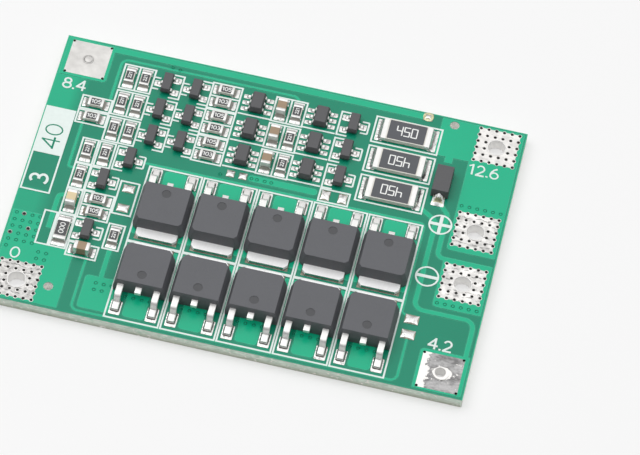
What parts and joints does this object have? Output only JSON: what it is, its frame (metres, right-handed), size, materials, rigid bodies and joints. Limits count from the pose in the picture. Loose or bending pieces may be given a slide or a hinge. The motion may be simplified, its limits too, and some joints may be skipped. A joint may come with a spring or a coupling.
{
  "type": "battery management board",
  "caption": "Flat green circuit board that protects and balances cells in series: rows of power transistors, large resistors and tinned terminal lands.",
  "frame": {"origin": "middle of the board's underside", "axes": "+X along the long side towards the output lands, +Y towards the edge with the battery plus land, +Z out of the side with the parts"},
  "size_m": [0.06, 0.041, 0.004],
  "materials": {
    "mask": "glossy green mask",
    "ink": "white print",
    "tin": "tinned, satin",
    "solder": "bright solder",
    "moulding": "dull dark grey",
    "leadframe": "tinned, satin",
    "resistor": "dark coated top",
    "capacitor": "bare brown ceramic"
  },
  "bodies": {
    "root": {"printed_circuit_board": "mask", "legend_print": "ink", "battery_minus_land": "tin", "battery_plus_land": "tin", "output_plus_land": "tin", "output_minus_land": "tin", "first_cell_land": "tin", "second_cell_land": "tin", "small_part_solder": "solder", "power_part_solder": "solder", "test_pads": "solder", "mosfet_1_case": "moulding", "mosfet_1_leadframe": "leadframe", "mosfet_2_case": "moulding", "mosfet_2_leadframe": "leadframe", "mosfet_3_case": "moulding", "mosfet_3_leadframe": "leadframe", "mosfet_4_case": "moulding", "mosfet_4_leadframe": "leadframe", "mosfet_5_case": "moulding", "mosfet_5_leadframe": "leadframe", "mosfet_6_case": "moulding", "mosfet_6_leadframe": "leadframe", "mosfet_7_case": "moulding", "mosfet_7_leadframe": "leadframe", "mosfet_8_case": "moulding", "mosfet_8_leadframe": "leadframe", "mosfet_9_case": "moulding", "mosfet_9_leadframe": "leadframe", "mosfet_10_case": "moulding", "mosfet_10_leadframe": "leadframe", "channel_1_resistors": "resistor", "balance_resistor_1": "resistor", "channel_1_capacitor": "capacitor", "channel_1_transistors": "moulding", "channel_1_protection_chip": "moulding", "channel_1_balance_chip": "moulding", "channel_1_leads": "leadframe", "channel_2_resistors": "resistor", "balance_resistor_2": "resistor", "channel_2_capacitor": "capacitor", "channel_2_transistors": "moulding", "channel_2_protection_chip": "moulding", "channel_2_balance_chip": "moulding", "channel_2_leads": "leadframe", "channel_3_resistors": "resistor", "balance_resistor_3": "resistor", "channel_3_capacitor": "capacitor", "channel_3_transistors": "moulding", "channel_3_protection_chip": "moulding", "channel_3_balance_chip": "moulding", "channel_3_leads": "leadframe", "control_resistors": "resistor", "link_resistor": "resistor", "control_capacitors": "capacitor", "control_transistors": "moulding", "diode_case": "moulding", "control_leads": "leadframe", "diode_leads": "leadframe"}
  },
  "joints": []
}
